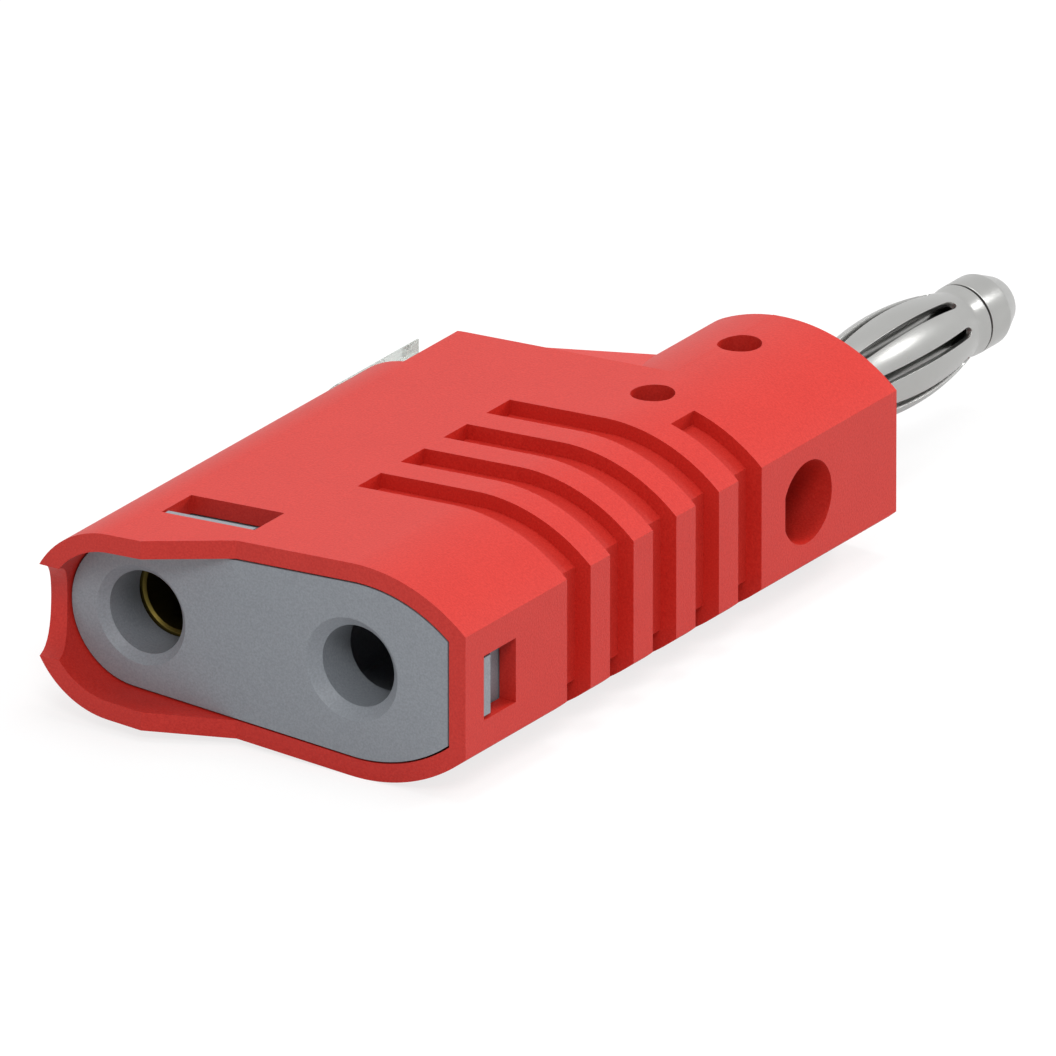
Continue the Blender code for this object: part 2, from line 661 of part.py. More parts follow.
def sleeve_radius(y):
    """Outer radius of the basket: an arch between two necks, flared to the full pin size at both ends."""
    off = abs(y - SLEEVE_MIDDLE_Y)
    half = SLEEVE_ARCH / 2
    if off < half:
        return SLEEVE_NECK_RADIUS + (SLEEVE_BULGE_RADIUS - SLEEVE_NECK_RADIUS) * (1 - (off / half) ** 2)
    rise = min((off - half) / SLEEVE_FLARE, 1.0)
    return SLEEVE_NECK_RADIUS + (HEAD_RADIUS - SLEEVE_NECK_RADIUS) * rise * rise * (3 - 2 * rise)


def make_lamella_sleeve():
    """The spring basket: a bulged tube of thin sheet with slots along it."""
    front = SEAM_Y - SLEEVE_SEAM
    half = SLEEVE_ARCH / 2
    heights = [front]
    heights += [SLEEVE_MIDDLE_Y + half + SLEEVE_FLARE * i / 4 for i in (3, 2, 1)]
    heights += [SLEEVE_MIDDLE_Y + half * i / 6 for i in range(6, -7, -1)]
    heights += [SLEEVE_MIDDLE_Y - half - SLEEVE_FLARE * i / 4 for i in (1, 2, 3, 4)]
    heights += [SLEEVE_BACK_Y]
    outer = [(sleeve_radius(y), y) for y in heights]
    inner = [(radius - SLEEVE_WALL, y) for radius, y in reversed(outer)]
    sleeve = turned("lamella_sleeve", outer + inner, PIECES, closed=True, steps=TURN_STEPS)
    reach = SLEEVE_BULGE_RADIUS + OVERRUN
    for i in range(SLOT_COUNT // 2):
        cutter = slot_cutter(f"slot_{i + 1}", reach, SLOT_TURN + 2 * math.pi * i / SLOT_COUNT)
        boolean(sleeve, cutter)
    return finish(sleeve, (0.8, 0.8, 0.8), 0.14, metallic=1.0)


def slot_cutter(name, reach, angle):
    """A long slot with round ends, cut straight through both walls at one angle round the pin."""
    radius = SLOT_WIDTH / 2
    straight = SLOT_LENGTH / 2 - radius
    ends = arc((0, straight), radius, -math.pi / 2, math.pi / 2, 8)
    outline = ends + [(-x, -y) for x, y in ends]
    cutter = prism(name, [(x, y + SLEEVE_MIDDLE_Y) for x, y in outline], -reach, reach, "Z", CUTTERS)
    cutter.rotation_euler = (0, math.pi / 2 - angle, 0)
    return cutter


clear_scene()
PIECES = make_collection("banana_plug")
CUTTERS = make_collection("cutters", helper=True)
AXIS = make_axis()
make_housing()
make_socket_carrier()
make_socket_sleeve()
make_contact_block()
make_current_bar()
make_cage_clamp()
make_plug_pin()
make_lamella_sleeve()
make_marker_window()
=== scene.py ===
# %% [markdown]
# # A stackable 4 mm plug, dressed for its picture
# The solids of this plug were made first, as nine pieces in one frame. This lesson gives them the look of the
# real thing: a red moulded housing, a grey moulded insert, nickel-plated turned metal and one clear window.
# The mouldings keep the solids' own shape, apart from the grip grooves, which are sunk a little, and get exact
# shading. The metal pieces that show are worked out again as surfaces, with the small rounded edges that
# polished metal needs.

import math

import bmesh
import bpy
import numpy as np
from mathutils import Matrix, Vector


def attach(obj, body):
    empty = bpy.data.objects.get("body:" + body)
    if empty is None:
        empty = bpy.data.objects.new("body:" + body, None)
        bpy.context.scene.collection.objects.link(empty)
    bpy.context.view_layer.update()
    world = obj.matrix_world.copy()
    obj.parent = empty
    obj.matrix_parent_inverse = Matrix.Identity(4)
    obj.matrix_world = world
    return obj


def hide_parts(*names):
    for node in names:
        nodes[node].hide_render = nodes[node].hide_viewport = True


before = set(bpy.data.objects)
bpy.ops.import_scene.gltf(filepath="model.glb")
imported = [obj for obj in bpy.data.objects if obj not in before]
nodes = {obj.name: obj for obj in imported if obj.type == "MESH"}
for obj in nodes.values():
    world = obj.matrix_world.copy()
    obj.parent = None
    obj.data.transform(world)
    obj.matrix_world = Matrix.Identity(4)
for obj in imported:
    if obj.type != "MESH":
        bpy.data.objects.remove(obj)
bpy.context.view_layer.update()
print("solids:", ", ".join(sorted(nodes)))

# %% [markdown]
# Every size below is in millimetres and is turned to metres by one factor. The plug has a natural middle: the
# pin's axis where it leaves the flat end of the nose. X runs across the plug, Y along the pin towards its tip,
# and Z up. AXIS says where that middle lies in the model, and each shape is worked out round it.

# %% Units and the plug's own middle
MM = 0.001
AXIS = np.array([5.805, 11.34, 5.97]) * MM
print("pin axis leaves the nose at", (AXIS / MM).round(3), "mm")

# %% [markdown]
# The picture is almost without perspective: edges that are parallel on the plug stay parallel in it. A very long
# lens from far away does that, and a frame 55 mm wide at the plug holds it with the same margins. The camera
# stands 33.8 degrees round from the socket end and 22.5 degrees above it.

# %% Camera
AZIMUTH = math.radians(33.83)
ELEVATION = math.radians(22.55)
DISTANCE = 2.5913
FRAME_WIDTH = 54.937 * MM
AIM_OFFSET = np.array([-3.075, -19.405, -0.015]) * MM
aim = Vector(AXIS + AIM_OFFSET)
back = Vector(
    (
        math.sin(AZIMUTH) * math.cos(ELEVATION),
        -math.cos(AZIMUTH) * math.cos(ELEVATION),
        math.sin(ELEVATION),
    )
)
lens = bpy.data.cameras.new("long_lens")
lens.sensor_width = 36.0
lens.lens = lens.sensor_width * DISTANCE / FRAME_WIDTH
lens.clip_start = 0.1
lens.clip_end = 10.0
camera = bpy.data.objects.new("long_lens", lens)
camera.location = aim + back * DISTANCE
camera.rotation_mode = "QUATERNION"
camera.rotation_quaternion = (-back).to_track_quat("-Z", "Y")
bpy.context.scene.collection.objects.link(camera)
bpy.context.scene.camera = camera
bpy.context.scene.view_settings.view_transform = "Standard"
print("lens", round(lens.lens), "mm")

# %% [markdown]
# Colours are written as the hex values that a paint program shows. Blender's shaders work with linear light, so
# one function turns them. One more function adds a shader node, sets its values and makes its links, and every
# material below is built with it.

# %% Colour and node helpers


def linear(hex_colour):
    """Linear RGBA of an sRGB hex colour: each channel c becomes ((c + 0.055) / 1.055) ** 2.4, or c / 12.92 if dark."""
    channels = [int(hex_colour[i : i + 2], 16) / 255 for i in (1, 3, 5)]
    turned_linear = [c / 12.92 if c <= 0.04045 else ((c + 0.055) / 1.055) ** 2.4 for c in channels]
    return (*turned_linear, 1.0)


def add(tree, kind, inputs, **settings):
    """Adds a node with its settings. Each input takes a value, or the output socket that is linked to it."""
    node = tree.nodes.new(kind)
    for name, value in settings.items():
        setattr(node, name, value)
    for socket, value in inputs.items():
        if isinstance(value, bpy.types.NodeSocket):
            tree.links.new(value, node.inputs[socket])
        else:
            node.inputs[socket].default_value = value
    return node


def new_material(name):
    """An empty material with its output and Principled shader, as (material, tree, shader)."""
    material = bpy.data.materials.new(name)
    material.use_nodes = True
    tree = material.node_tree
    return material, tree, tree.nodes["Principled BSDF"]


def seen_directly(tree):
    """The Light Path node, and a factor that is 1 for the camera and for rays through clear plastic, else 0."""
    path = add(tree, "ShaderNodeLightPath", {})
    rays = {0: path.outputs["Is Camera Ray"], 1: path.outputs["Is Transmission Ray"]}
    seen = add(tree, "ShaderNodeMath", rays, operation="MAXIMUM")
    return path, seen.outputs[0]


# %% [markdown]
# The plug stands in a light tent. The tent gives a low even light from all round, and polished metal mirrors its
# cloth as white. To the camera, and through the clear window, the tent is plain white.

# %% Light tent
TENT_LIGHT = 0.54
TENT_MIRRORED = 1.0
world = bpy.data.worlds.new("light_tent")
bpy.context.scene.world = world
world.use_nodes = True
tree = world.node_tree
tree.nodes.clear()
path, seen = seen_directly(tree)
mirrored = {"Value": path.outputs["Is Glossy Ray"], "To Min": TENT_LIGHT, "To Max": TENT_MIRRORED}
hidden = add(tree, "ShaderNodeMapRange", mirrored)
strength = add(tree, "ShaderNodeMix", {"Factor": seen, 2: hidden.outputs[0], 3: 1.0})
sky = add(tree, "ShaderNodeBackground", {"Color": linear("#FFFFFF"), "Strength": strength.outputs[0]})
add(tree, "ShaderNodeOutputWorld", {"Surface": sky.outputs[0]})
print("tent light", TENT_LIGHT)

# %% [markdown]
# Four square area lamps stand for soft boxes. One hangs over the plug and makes the top brightest. One stands
# low beyond the pin and rakes along the right side; it lights the ribs but not the grooves' far walls, and it is
# left out of reflections, where it would put a hard streak on the pin. One stands in front on the right: it
# lights the socket end, and the way it falls into the two funnels draws their rings. A small one high beyond
# the pin is what shines as a white spot on the polished basket.

# %% Soft boxes


def soft_box(name, side, power, place, mirrored=True):
    """A square area lamp at a place in metres, turned to the pin's axis. It may be left out of reflections."""
    light = bpy.data.lights.new(name, "AREA")
    light.size = side
    light.energy = power
    box = bpy.data.objects.new(name, light)
    box.location = place
    box.rotation_mode = "QUATERNION"
    box.rotation_quaternion = (Vector(AXIS) - box.location).to_track_quat("-Z", "Y")
    box.visible_glossy = mirrored
    bpy.context.scene.collection.objects.link(box)
    print(name, side, "m wide,", power, "W")


soft_box("overhead_box", 0.24, 1.36, (0.03, 0.03, 0.61))
soft_box("raking_box", 0.16, 2.4, (0.20, 0.54, 0.27), mirrored=False)
soft_box("front_box", 0.16, 1.2, (0.26, -0.38, 0.42))
soft_box("spark_box", 0.09, 0.32, (0.302, 0.396, 0.373))

# %% [markdown]
# The plug lies on a white paper sweep. To the camera the paper is plain white, but a share of its own shading
# comes through, so that the plug's soft shadow stays. It is a little grey to the light that it throws back, so
# that the underside does not glow.

# %% Floor
FLOOR_HALF = 1.5
SHADOW_SHARE = 0.22
floor_mesh = bpy.data.meshes.new("white_sweep")
corners = [(x * FLOOR_HALF, y * FLOOR_HALF, 0) for x, y in ((-1, -1), (1, -1), (1, 1), (-1, 1))]
floor_mesh.from_pydata(corners, [], [(0, 1, 2, 3)])
floor = bpy.data.objects.new("white_sweep", floor_mesh)
bpy.context.scene.collection.objects.link(floor)
paper, tree, shader = new_material("matte_white_paper")
shader.inputs["Roughness"].default_value = 0.9
shader.inputs["Specular IOR Level"].default_value = 0.0
path, seen = seen_directly(tree)
tones = {"Factor": seen, 6: linear("#DADADA"), 7: linear("#FFFFFF")}
tone = add(tree, "ShaderNodeMix", tones, data_type="RGBA")
tree.links.new(tone.outputs[2], shader.inputs["Base Color"])
white_share = add(tree, "ShaderNodeMapRange", {"Value": seen, "To Max": 1.0 - SHADOW_SHARE})
glow = add(tree, "ShaderNodeEmission", {"Color": linear("#FFFFFF"), "Strength": 1.0})
mixed = add(tree, "ShaderNodeMixShader", {0: white_share.outputs[0], 1: shader.outputs[0], 2: glow.outputs[0]})
tree.links.new(mixed.outputs[0], tree.nodes["Material Output"].inputs["Surface"])
floor_mesh.materials.append(paper)
print("floor", 2 * FLOOR_HALF, "m wide")

# %% [markdown]
# ## Finishes
# The housing is injection-moulded polyamide. Its mould is spark-eroded, which leaves a grain of fine craters, so
# the plastic is matte and the light breaks up into specks. The red is a pigment in the whole material. Two noise
# patterns make the grain: one at the real size of the craters, about 0.11 mm, and a faint slow one for the way
# that the melt spreads. The shader's own reflection at 1.5 gives the pale edge where the surface turns away,
# and it is held a little below the usual strength, because the craters' steep sides swallow part of it.

# %% Moulded plastic
GRAIN = 0.11 * MM
CLOUD = 2.6 * MM
CLOUD_SHARE = 0.12
MOTTLE_SPAN = (0.3, 0.7)
PLASTIC_IOR = 1.5
SHEEN = 0.38


def moulded_plastic(name, light_hex, dark_hex, roughness, grain_depth):
    """Matte moulded plastic: colour mixed by fine grain and slow clouds, and a bump of the same grain."""
    material, tree, shader = new_material(name)
    shader.inputs["Roughness"].default_value = roughness
    shader.inputs["IOR"].default_value = PLASTIC_IOR
    shader.inputs["Specular IOR Level"].default_value = SHEEN
    place = add(tree, "ShaderNodeTexCoord", {})
    spot = place.outputs["Object"]
    grain = add(tree, "ShaderNodeTexNoise", {"Vector": spot, "Scale": 1 / GRAIN, "Detail": 2.0})
    cloud = add(tree, "ShaderNodeTexNoise", {"Vector": spot, "Scale": 1 / CLOUD, "Detail": 2.0})
    mottle = add(tree, "ShaderNodeMix", {"Factor": CLOUD_SHARE, 2: grain.outputs["Fac"], 3: cloud.outputs["Fac"]})
    low, high = MOTTLE_SPAN
    tint = add(tree, "ShaderNodeMapRange", {"Value": mottle.outputs[0], "From Min": low, "From Max": high})
    mix = {"Factor": tint.outputs[0], 6: linear(dark_hex), 7: linear(light_hex)}
    colour = add(tree, "ShaderNodeMix", mix, data_type="RGBA")
    bump = add(tree, "ShaderNodeBump", {"Height": grain.outputs["Fac"], "Distance": grain_depth})
    tree.links.new(colour.outputs[2], shader.inputs["Base Color"])
    tree.links.new(bump.outputs[0], shader.inputs["Normal"])
    return material


red_plastic = moulded_plastic("polyamide_red_spark_eroded", "#C52D22", "#B41E15", 0.5, 0.012 * MM)
grey_plastic = moulded_plastic("polyamide_grey_spark_eroded", "#8B9096", "#7D8187", 0.5, 0.008 * MM)
print("moulded finishes:", red_plastic.name, grey_plastic.name)

# %% [markdown]
# The pin and its basket are brass with bright nickel over it. Nickel is a pale, slightly warm mirror. Turning
# leaves rings round the pin too fine to see one by one; they are drawn as a faint bump 0.05 mm apart, which
# stretches each reflection a little along the pin. The socket is bare turned brass, a dull gold. Inside, the
# block has the same nickel, the bar is rolled copper strip and the clamp is bright rolled steel; they give no
# more than a glint of silver or copper at the bottom of a hole.

# %% Plated and bare metals
TURNING_PITCH = 0.05 * MM


def turned_metal(name, light_hex, dark_hex, roughness, ring_depth):
    """Metal whose fine marks repeat along the pin: noise read along Y shifts the height, clouds the colour."""
    material, tree, shader = new_material(name)
    shader.inputs["Metallic"].default_value = 1.0
    place = add(tree, "ShaderNodeTexCoord", {})
    parts = add(tree, "ShaderNodeSeparateXYZ", {"Vector": place.outputs["Object"]})
    marks = {"W": parts.outputs["Y"], "Scale": 1 / TURNING_PITCH, "Detail": 1.0}
    rings = add(tree, "ShaderNodeTexNoise", marks, noise_dimensions="1D")
    cloud = add(tree, "ShaderNodeTexNoise", {"Vector": place.outputs["Object"], "Scale": 1 / CLOUD, "Detail": 2.0})
    mix = {"Factor": cloud.outputs["Fac"], 6: linear(dark_hex), 7: linear(light_hex)}
    colour = add(tree, "ShaderNodeMix", mix, data_type="RGBA")
    span = {"Value": cloud.outputs["Fac"], "To Min": roughness * 0.8, "To Max": roughness * 1.2}
    haze = add(tree, "ShaderNodeMapRange", span)
    bump = add(tree, "ShaderNodeBump", {"Height": rings.outputs["Fac"], "Distance": ring_depth})
    tree.links.new(colour.outputs[2], shader.inputs["Base Color"])
    tree.links.new(haze.outputs[0], shader.inputs["Roughness"])
    tree.links.new(bump.outputs[0], shader.inputs["Normal"])
    return material


bright_nickel = turned_metal("brass_bright_nickel_plated", "#B3B3B1", "#AAAAA8", 0.3, 0.0001 * MM)
socket_brass = turned_metal("brass_turned_bare", "#796B36", "#695C2C", 0.45, 0.001 * MM)
block_nickel = turned_metal("brass_block_nickel_plated", "#CFCDC8", "#C2BFB8", 0.28, 0.001 * MM)
bar_copper = turned_metal("copper_strip_rolled", "#C98F6A", "#B97E5A", 0.34, 0.001 * MM)
clamp_steel = turned_metal("spring_steel_rolled", "#B9B8B6", "#A9A8A6", 0.3, 0.001 * MM)
print("metals:", bright_nickel.name, socket_brass.name, block_nickel.name, bar_copper.name, clamp_steel.name)

# %% [markdown]
# The window in the notch is clear moulded polycarbonate, with a high polish from its mould and a faint green
# where one looks through its length. The real plastic bends light at 1.58. In one thin solid with square edges
# that much bending turns its inside into dark mirrors, which the photo does not show, so it is set at 1.25. A
# quarter of the light is scattered instead of let through, which keeps the window visible on white.

# %% Clear polycarbonate
CLEAR_SHARE = 0.75
CLEAR_IOR = 1.25
HAZE_SPAN = (0.02, 0.08)
clear_plastic, tree, shader = new_material("polycarbonate_clear_polished")
shader.inputs["Transmission Weight"].default_value = CLEAR_SHARE
shader.inputs["IOR"].default_value = CLEAR_IOR
place = add(tree, "ShaderNodeTexCoord", {})
cloud = add(tree, "ShaderNodeTexNoise", {"Vector": place.outputs["Object"], "Scale": 1 / CLOUD, "Detail": 2.0})
low, high = HAZE_SPAN
haze = add(tree, "ShaderNodeMapRange", {"Value": cloud.outputs["Fac"], "To Min": low, "To Max": high})
mix = {"Factor": cloud.outputs["Fac"], 6: linear("#DCE3DE"), 7: linear("#E6EBE7")}
colour = add(tree, "ShaderNodeMix", mix, data_type="RGBA")
tree.links.new(colour.outputs[2], shader.inputs["Base Color"])
tree.links.new(haze.outputs[0], shader.inputs["Roughness"])
print("clear finish:", clear_plastic.name)

# %% [markdown]
# ## The mouldings
# Housing, insert and window are prisms along Y with holes cut through them, and their solids already have those
# shapes. What they lack is shading: they are made of long thin triangles, and averaged normals would streak.
# The real faces have simple formulas, so each corner takes its normal from the formula of the face it lies on.
# The section across the plug is a crown arc, a straight taper and a round left end, mirrored below.

# %% The section's formula
CROWN_RADIUS = 9.9 * MM
CROWN_X = 0.45 * MM
CROWN_HALF = 5.97 * MM
CROWN_CENTRE = CROWN_RADIUS - CROWN_HALF
END_RADIUS = 5.2 * MM
END_X = -13.42 * MM
NOSE_LEFT_X = -6.18 * MM
NOSE_ROUND = 4.3 * MM
SKIN = (-0.2 * MM, 2.3 * MM)
reach = math.hypot(CROWN_X - END_X, CROWN_CENTRE)
TAPER = math.asin((CROWN_RADIUS - END_RADIUS) / reach) - math.atan2(CROWN_CENTRE, CROWN_X - END_X)
print("taper of the top", round(math.degrees(TAPER), 2), "degrees")


def section_field(points):
    """Outward direction of the section at each point, and whether the point lies in the moulded wall.

    A point under the crown looks away from the crown's centre, one near the left end away from the centre of
    the round end, and one between them along the normal of the taper.
    """
    x = points[:, 0]
    z = np.abs(points[:, 2])
    crown = np.stack([x - CROWN_X, z + CROWN_CENTRE], 1)
    end = np.stack([x - END_X, z], 1)
    flat = np.array([-math.sin(TAPER), math.cos(TAPER)])
    crown_far = np.linalg.norm(crown, axis=1)
    end_far = np.linalg.norm(end, axis=1) + 1e-12
    on_crown = np.arctan2(crown[:, 0], crown[:, 1]) >= -TAPER
    on_end = np.arctan2(end[:, 0], end[:, 1]) <= -TAPER
    straight = np.broadcast_to(flat, crown.shape)
    side = np.where(on_end[:, None], end / end_far[:, None], straight)
    way = np.where(on_crown[:, None], crown / crown_far[:, None], side)
    depth = np.where(on_end, END_RADIUS - end_far, END_RADIUS - end @ flat)
    depth = np.where(on_crown, CROWN_RADIUS - crown_far, depth)
    up = np.where(points[:, 2] < 0, -1.0, 1.0)
    field = np.stack([way[:, 0], np.zeros(len(points)), way[:, 1] * up], 1)
    return field, (depth > SKIN[0]) & (depth < SKIN[1])


def round_field(centre, axis, radius, lean=0.0):
    """A field for a round face: away from the axis, leaned along it by an angle for a cone."""
    centre = np.array(centre) * MM
    axis = np.array(axis, float)

    def field(points):
        off = points - centre
        off = off - (off @ axis)[:, None] * axis
        far = np.linalg.norm(off, axis=1) + 1e-12
        way = off / far[:, None] * math.cos(lean) + axis * math.sin(lean)
        low, high = np.array(radius) * MM
        return way, (far > low) & (far < high)

    return field


def nose_field(points):
    """Direction of the rounded left side of the nose: away from the centre of its 4.3 mm round."""
    centre_x = NOSE_LEFT_X + NOSE_ROUND
    join = math.asin((centre_x - CROWN_X) / (CROWN_RADIUS - NOSE_ROUND))
    centre_z = (CROWN_RADIUS - NOSE_ROUND) * math.cos(join) - CROWN_CENTRE
    up = np.where(points[:, 2] < 0, -1.0, 1.0)
    off = np.stack([points[:, 0] - centre_x, np.abs(points[:, 2]) - centre_z], 1)
    far = np.linalg.norm(off, axis=1) + 1e-12
    field = np.stack([off[:, 0] / far, np.zeros(len(points)), off[:, 1] / far * up], 1)
    return field, (np.abs(far - NOSE_ROUND) < 0.2 * MM) & (off[:, 0] < 0)


# %% [markdown]
# A copy of each solid is merged, and every triangle asks each field whether it agrees with the triangle's own
# normal to within seven degrees. The best one gives the three corners their normals. A triangle that no field
# claims is flat, and keeps its own.

# %% Exact shading for a copy of a solid
AGREE = math.cos(math.radians(7))


def shaded_copy(name, node, fields, material, reshape=None):
    """A merged copy of a solid that stands for it, with corner normals from the fields and one finish.

    A reshape function may move the points first; it gets them in metres from the plug's own middle.
    """
    mesh = nodes[node].data.copy()
    mesh.name = name
    work = bmesh.new()
    work.from_mesh(mesh)
    bmesh.ops.remove_doubles(work, verts=work.verts, dist=1e-6)
    bmesh.ops.triangulate(work, faces=work.faces)
    work.to_mesh(mesh)
    work.free()
    places = np.zeros(len(mesh.vertices) * 3)
    mesh.vertices.foreach_get("co", places)
    places = places.reshape(-1, 3) - AXIS
    if reshape:
        places = reshape(places)
        mesh.vertices.foreach_set("co", (places + AXIS).reshape(-1))
        mesh.update()
    count = len(mesh.polygons)
    face_normals = np.zeros(count * 3)
    face_centres = np.zeros(count * 3)
    corner_verts = np.zeros(count * 3, int)
    mesh.polygons.foreach_get("normal", face_normals)
    mesh.polygons.foreach_get("center", face_centres)
    mesh.loops.foreach_get("vertex_index", corner_verts)
    face_normals = face_normals.reshape(-1, 3)
    face_centres = face_centres.reshape(-1, 3) - AXIS
    corners = places[corner_verts]
    normals = np.repeat(face_normals, 3, axis=0)
    best = np.full(count, AGREE)
    for field in fields:
        way, inside = field(face_centres)
        dot = np.einsum("ij,ij->i", way, face_normals)
        take = inside & (np.abs(dot) > best)
        best[take] = np.abs(dot)[take]
        at_corners = np.repeat(take, 3)
        sign = np.repeat(np.sign(dot), 3)[:, None]
        normals[at_corners] = (field(corners)[0] * sign)[at_corners]
    mesh.polygons.foreach_set("use_smooth", np.ones(count, bool))
    mesh.normals_split_custom_set(normals.tolist())
    mesh.materials.clear()
    mesh.materials.append(material)
    copy = bpy.data.objects.new(name, mesh)
    bpy.context.scene.collection.objects.link(copy)
    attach(copy, "root")
    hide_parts(node)
    print(name, count, "triangles,", int((best > AGREE).sum()), "of them on curved or tapered faces")


# %% [markdown]
# The five grip grooves are cut to one depth in the solid. In the photo they are a little deeper over the top, and
# deeper again down the right side, where their far walls hide most of their floors. So the copy's floors are
# sunk: only the corners of the floors move, and they move within the planes of the groove walls.

# %% Grip grooves sunk to the photo's depth
GROOVE_COUNT = 5
GROOVE_FIRST_Y = -29.83 * MM
GROOVE_PITCH = 4.0 * MM
GROOVE_HALF = 1.1 * MM
GROOVE_DEPTH = 0.66 * MM
SIDE_X = 7.08 * MM
SUNK_TOP = 0.84 * MM
SUNK_SIDE = 0.98 * MM
NEAR = 0.02 * MM


def sunk_grooves(points):
    """The points with the corners of the groove floors sunk.

    A corner of a floor lies on a groove wall and at the groove depth under the section. Right of the crown's
    middle its x is scaled so that the edge reaches the new side depth. Its z then comes from the crown's circle
    at the new top depth, or on the taper it drops by the difference.
    """
    y = points[:, 1]
    off = np.abs((y - GROOVE_FIRST_Y + GROOVE_PITCH / 2) % GROOVE_PITCH - GROOVE_PITCH / 2)
    on_wall = (np.abs(off - GROOVE_HALF) < NEAR / 2) & (y < GROOVE_FIRST_Y + (GROOVE_COUNT - 0.5) * GROOVE_PITCH)
    x = points[:, 0]
    z = np.abs(points[:, 2])
    radius = np.hypot(x - CROWN_X, z + CROWN_CENTRE)
    under_crown = np.abs(radius - (CROWN_RADIUS - GROOVE_DEPTH)) < NEAR
    end_off = np.stack([x - END_X, z], 1) @ np.array([-math.sin(TAPER), math.cos(TAPER)])
    left_of_crown = np.arctan2(x - CROWN_X, z + CROWN_CENTRE) < -TAPER
    under_taper = (np.abs(END_RADIUS - GROOVE_DEPTH - end_off) < NEAR) & left_of_crown & ~under_crown
    inside = radius < CROWN_RADIUS - GROOVE_DEPTH + NEAR
    side_floor = on_wall & (np.abs(x - (SIDE_X - GROOVE_DEPTH)) < NEAR) & inside
    top_floor = on_wall & (under_crown | under_taper) & (x < SIDE_X - GROOVE_DEPTH + NEAR)
    shrink = (SIDE_X - SUNK_SIDE - CROWN_X) / (SIDE_X - GROOVE_DEPTH - CROWN_X)
    new_x = np.where(x > CROWN_X, CROWN_X + (x - CROWN_X) * shrink, x)
    crown_z = np.sqrt(np.clip((CROWN_RADIUS - SUNK_TOP) ** 2 - (new_x - CROWN_X) ** 2, 0, None)) - CROWN_CENTRE
    new_z = np.where(under_crown, crown_z, z - (SUNK_TOP - GROOVE_DEPTH) / math.cos(TAPER))
    moved = points.copy()
    moved[:, 0] = np.where(top_floor | side_floor, new_x, x)
    moved[:, 2] = np.where(top_floor, new_z * np.sign(points[:, 2]), points[:, 2])
    print("corners of groove floors:", int(top_floor.sum()), "on top,", int(side_floor.sum()), "beside")
    return moved


# %% [markdown]
# The housing's round faces are its section, the round of the nose, the two core-pin holes, the cross hole, the
# way for the pin and the scallop round the left socket. The insert adds its two funnels, which are cones at
# 45 degrees, and the necks behind them. The window follows the round left end.

# %% Housing, insert and window
SIDEWAYS = (1, 0, 0)
ALONG = (0, 1, 0)
UPWARDS = (0, 0, 1)
CROWN_SPAN = (9.7, 10.1)
CORE_HOLE_SPAN = (1.1, 1.25)
HOLE_SPAN = (2.2, 2.4)
SCALLOP_SPAN = (2.5, 2.75)
housing_fields = [
    section_field,
    nose_field,
    round_field((0.45, 0, -3.93), ALONG, CROWN_SPAN),
    round_field((0.45, 0, 3.93), ALONG, CROWN_SPAN),
    round_field((0.1, -12.49, 0), UPWARDS, CORE_HOLE_SPAN),
    round_field((0.1, -4.31, 0), UPWARDS, CORE_HOLE_SPAN),
    round_field((0, -8.4, 0), SIDEWAYS, HOLE_SPAN),
    round_field((0, 0, 0), ALONG, HOLE_SPAN),
    round_field((0, -43.26, 0), SIDEWAYS, SCALLOP_SPAN),
]
QUARTER = math.radians(45)
FUNNEL_SPAN = (2.2, 3.0)
NECK_SPAN = (2.0, 4.0)
SOCKET_X = -13.16
carrier_fields = [section_field]
for way_x in (SOCKET_X, 0.0):
    carrier_fields.append(round_field((way_x, 0, 0), ALONG, FUNNEL_SPAN, QUARTER))
    carrier_fields.append(round_field((way_x, 0, 0), ALONG, NECK_SPAN))
shaded_copy("moulded_housing", "housing", housing_fields, red_plastic, sunk_grooves)
shaded_copy("moulded_insert", "socket_carrier", carrier_fields, grey_plastic)
shaded_copy("clear_window", "marker_window", [section_field], clear_plastic)

# %% [markdown]
# ## The metal
# Turned pieces are one profile carried round the axis: a point at radius r and height y goes to
# (r cos a, y, r sin a). Sharp corners would have no highlight, so each corner of a profile is first rounded by
# an arc that touches both of its sides. The grid of points becomes a mesh in one step.

# %% Grid and profile helpers


def grid_mesh(name, points, closed_across=False):
    """A mesh from points[row, column]: each square of neighbours is a face. The last column may join the first."""
    rows, columns = points.shape[:2]
    index = np.arange(rows * columns).reshape(rows, columns)
    if closed_across:
        index = np.concatenate([index, index[:, :1]], 1)
    faces = np.stack([index[:-1, :-1], index[:-1, 1:], index[1:, 1:], index[1:, :-1]], -1).reshape(-1, 4)
    mesh = bpy.data.meshes.new(name)
    mesh.vertices.add(rows * columns)
    mesh.vertices.foreach_set("co", points.reshape(-1))
    mesh.loops.add(faces.size)
    mesh.loops.foreach_set("vertex_index", faces.reshape(-1))
    mesh.polygons.add(len(faces))
    mesh.polygons.foreach_set("loop_start", np.arange(0, faces.size, 4))
    mesh.update(calc_edges=True)
    work = bmesh.new()
    work.from_mesh(mesh)
    bmesh.ops.remove_doubles(work, verts=work.verts, dist=1e-7)
    work.to_mesh(mesh)
    work.free()
    mesh.shade_smooth()
    return mesh


